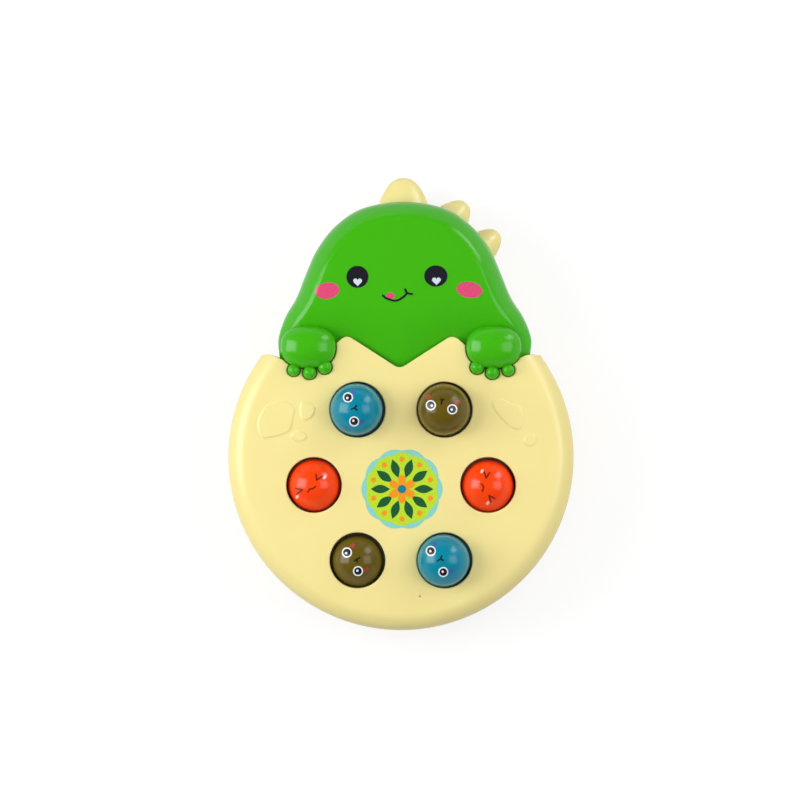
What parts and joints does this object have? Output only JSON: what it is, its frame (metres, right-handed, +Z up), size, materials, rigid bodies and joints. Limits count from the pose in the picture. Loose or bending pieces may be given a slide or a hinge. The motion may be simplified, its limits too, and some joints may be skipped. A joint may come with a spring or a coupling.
{
  "type": "whack-a-mole toy",
  "caption": "Tabletop whack-a-mole toy: a dinosaur in a cracked egg, whose face holds linked dome heads that rise as their neighbours are pressed.",
  "frame": {"origin": "centre of the footprint, on the table under the foot pads", "axes": "+Z up out of the face of the toy, +Y from the egg to the crown of the dinosaur, +X to the right as the face is seen"},
  "size_m": [0.1732, 0.2268, 0.0625],
  "materials": {
    "cream_plastic": "moulded, satin",
    "green_plastic": "moulded, glossy",
    "blue_plastic": "moulded, glossy, printed face",
    "olive_plastic": "moulded, glossy, printed face",
    "orange_plastic": "moulded, glossy, printed face",
    "white_plastic": "moulded, natural white",
    "pad_rubber": "soft, matt",
    "screw_steel": "zinc-plated steel"
  },
  "bodies": {
    "case": {"case_screw_1": "screw_steel", "case_screw_2": "screw_steel", "case_screw_3": "screw_steel", "case_screw_4": "screw_steel", "case_screw_5": "screw_steel", "case_screw_6": "screw_steel", "case_screw_7": "screw_steel", "case_screw_8": "screw_steel", "dino_front_shell": "green_plastic", "egg_front_shell": "cream_plastic", "foot_pad_1": "pad_rubber", "foot_pad_2": "pad_rubber", "foot_pad_3": "pad_rubber", "foot_pad_4": "pad_rubber", "mechanism_plate": "white_plastic", "plate_screw_1": "screw_steel", "plate_screw_2": "screw_steel", "plate_screw_3": "screw_steel", "plate_screw_4": "screw_steel", "rear_cover": "cream_plastic", "rocker_pin_lower": "screw_steel", "rocker_pin_upper_left": "screw_steel", "rocker_pin_upper_right": "screw_steel"},
    "head_right": {"head_cap_right": "orange_plastic", "plunger_right": "white_plastic"},
    "head_top_right": {"head_cap_top_right": "olive_plastic", "plunger_top_right": "white_plastic"},
    "head_top_left": {"head_cap_top_left": "blue_plastic", "plunger_top_left": "white_plastic"},
    "head_left": {"head_cap_left": "orange_plastic", "plunger_left": "white_plastic"},
    "head_bottom_left": {"head_cap_bottom_left": "olive_plastic", "plunger_bottom_left": "white_plastic"},
    "head_bottom_right": {"head_cap_bottom_right": "blue_plastic", "plunger_bottom_right": "white_plastic"},
    "rocker_upper_right": {"rocker_upper_right": "white_plastic"},
    "rocker_upper_left": {"rocker_upper_left": "white_plastic"},
    "rocker_lower": {"rocker_lower": "white_plastic"}
  },
  "joints": [
    {"name": "rocker_upper_right_tilt", "type": "hinge", "parent": "case", "child": "rocker_upper_right", "pos_m": [0.03262, -0.02165, 0.01594], "axis": [-0.866, -0.5, 0], "range_deg": [0, 23.37]},
    {"name": "rocker_upper_left_tilt", "type": "hinge", "parent": "case", "child": "rocker_upper_left", "pos_m": [-0.03262, -0.02165, 0.01594], "axis": [-0.866, 0.5, 0], "range_deg": [0, 23.37]},
    {"name": "rocker_lower_tilt", "type": "hinge", "parent": "case", "child": "rocker_lower", "pos_m": [0, -0.07815, 0.01594], "axis": [0, 1, 0], "range_deg": [0, 23.37]},
    {"name": "head_top_right_travel", "type": "slide", "parent": "case", "child": "head_top_right", "axis": [0, 0, 1], "range_m": [-0.009, 0]},
    {"name": "head_right_travel", "type": "slide", "parent": "case", "child": "head_right", "axis": [0, 0, 1], "range_m": [0, 0.009]},
    {"name": "head_top_left_travel", "type": "slide", "parent": "case", "child": "head_top_left", "axis": [0, 0, 1], "range_m": [-0.009, 0]},
    {"name": "head_left_travel", "type": "slide", "parent": "case", "child": "head_left", "axis": [0, 0, 1], "range_m": [0, 0.009]},
    {"name": "head_bottom_right_travel", "type": "slide", "parent": "case", "child": "head_bottom_right", "axis": [0, 0, 1], "range_m": [-0.009, 0]},
    {"name": "head_bottom_left_travel", "type": "slide", "parent": "case", "child": "head_bottom_left", "axis": [0, 0, 1], "range_m": [0, 0.009]}
  ],
  "couplings": [
    {"joint": "head_top_right_travel", "follows": "rocker_upper_right_tilt", "m_per_rad": -0.022056},
    {"joint": "head_right_travel", "follows": "rocker_upper_right_tilt", "m_per_rad": 0.022056},
    {"joint": "head_top_left_travel", "follows": "rocker_upper_left_tilt", "m_per_rad": -0.022056},
    {"joint": "head_left_travel", "follows": "rocker_upper_left_tilt", "m_per_rad": 0.022056},
    {"joint": "head_bottom_right_travel", "follows": "rocker_lower_tilt", "m_per_rad": -0.022056},
    {"joint": "head_bottom_left_travel", "follows": "rocker_lower_tilt", "m_per_rad": 0.022056}
  ]
}
